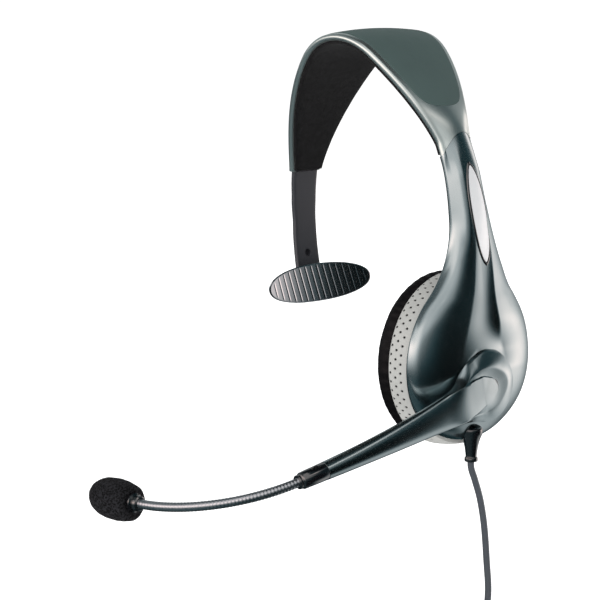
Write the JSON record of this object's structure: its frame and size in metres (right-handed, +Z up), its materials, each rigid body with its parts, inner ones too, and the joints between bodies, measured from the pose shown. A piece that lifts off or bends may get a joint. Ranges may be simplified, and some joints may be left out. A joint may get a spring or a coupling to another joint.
{
  "type": "office headset",
  "caption": "Over-the-head mono headset: tapered band, sliding T-bar temple pad, cushioned ear cup, swinging boom microphone on a gooseneck, and a coiled cord with a plug.",
  "frame": {"origin": "on the ear axis, in the plane of the band, midway across the head", "axes": "+Z up the wearer's head, +X towards the ear cup, -Y the way the wearer faces"},
  "size_m": [0.0959, 0.1573, 0.2252],
  "materials": {
    "silver_plastic": "satin",
    "inlay_plastic": "matte",
    "felt": "felt",
    "spring_steel": "brushed",
    "shell_plastic": "metallic gloss",
    "badge_rim": "gloss",
    "badge_silver": "satin silver",
    "board": "solder resist",
    "black_plastic": "gloss",
    "mesh_cloth": "woven",
    "basket_plastic": "matte",
    "magnet": "plated",
    "brass": "polished",
    "cone_film": "film",
    "pale_leatherette": "perforated leatherette",
    "black_leatherette": "soft leatherette",
    "cord_jacket": "satin",
    "arm_plastic": "satin",
    "pad_rubber": "satin",
    "goose_steel": "dark plated",
    "foam": "open foam"
  },
  "bodies": {
    "headset": {"headband_shell": "silver_plastic", "headband_inlay": "inlay_plastic", "headband_pad": "felt", "band_spring": "spring_steel", "detent_spring": "spring_steel", "outer_shell": "shell_plastic", "inner_cover": "shell_plastic", "badge_bezel": "badge_rim", "badge_plate": "badge_silver", "cover_screws": "spring_steel", "terminal_board": "board", "speaker_baffle": "black_plastic", "acoustic_mesh": "mesh_cloth", "speaker_basket": "basket_plastic", "speaker_yoke": "spring_steel", "speaker_magnet": "magnet", "speaker_top_plate": "spring_steel", "voice_coil": "brass", "speaker_diaphragm": "cone_film", "cushion_ring": "basket_plastic", "cushion_wall": "pale_leatherette", "ear_pad": "black_leatherette", "pivot_bushing": "brass", "strain_relief": "black_plastic", "cord_drop": "cord_jacket", "cord_coil": "cord_jacket", "cord_tail": "cord_jacket", "cord_tie": "black_plastic", "plug_body": "black_plastic", "plug_shell": "spring_steel", "plug_tongue": "black_plastic", "plug_contacts": "brass"},
    "slider": {"slider_arm": "arm_plastic", "pad_pin": "spring_steel"},
    "temple": {"pad_carrier": "black_plastic", "temple_pad": "pad_rubber"},
    "boom": {"boom_arm": "shell_plastic", "pivot_shaft": "spring_steel", "retaining_clip": "spring_steel", "friction_washer": "spring_steel", "boom_collar": "black_plastic", "gooseneck_lower": "goose_steel"},
    "gooseneck_mid": {"gooseneck_upper": "goose_steel"},
    "microphone": {"mic_neck": "black_plastic", "mic_housing": "black_plastic", "mic_capsule": "spring_steel", "mic_windscreen": "foam"}
  },
  "joints": [
    {"name": "arm_adjust", "type": "hinge", "parent": "headset", "child": "slider", "pos_m": [0.04568, 0, 0.04797], "axis": [0, 1, 0], "range_deg": [-6, 14]},
    {"name": "pad_tilt", "type": "hinge", "parent": "slider", "child": "temple", "pos_m": [-0.03609, 0, 0.0195], "axis": [0, 1, 0], "range_deg": [-10, 15]},
    {"name": "boom_swing", "type": "hinge", "parent": "headset", "child": "boom", "pos_m": [0.05, 0, -0.008], "axis": [1, 0, 0], "range_deg": [-75, 230]},
    {"name": "gooseneck_swing", "type": "hinge", "parent": "boom", "child": "gooseneck_mid", "pos_m": [0.03947, -0.09889, -0.03211], "axis": [0, -0.2368, 0.9715], "range_deg": [-20, 40], "deforming": ["gooseneck_lower"]},
    {"name": "gooseneck_lift", "type": "hinge", "parent": "gooseneck_mid", "child": "microphone", "pos_m": [0.01883, -0.11632, -0.03636], "axis": [0.3746, -0.9008, -0.2196], "range_deg": [-30, 30], "deforming": ["gooseneck_upper"]}
  ]
}
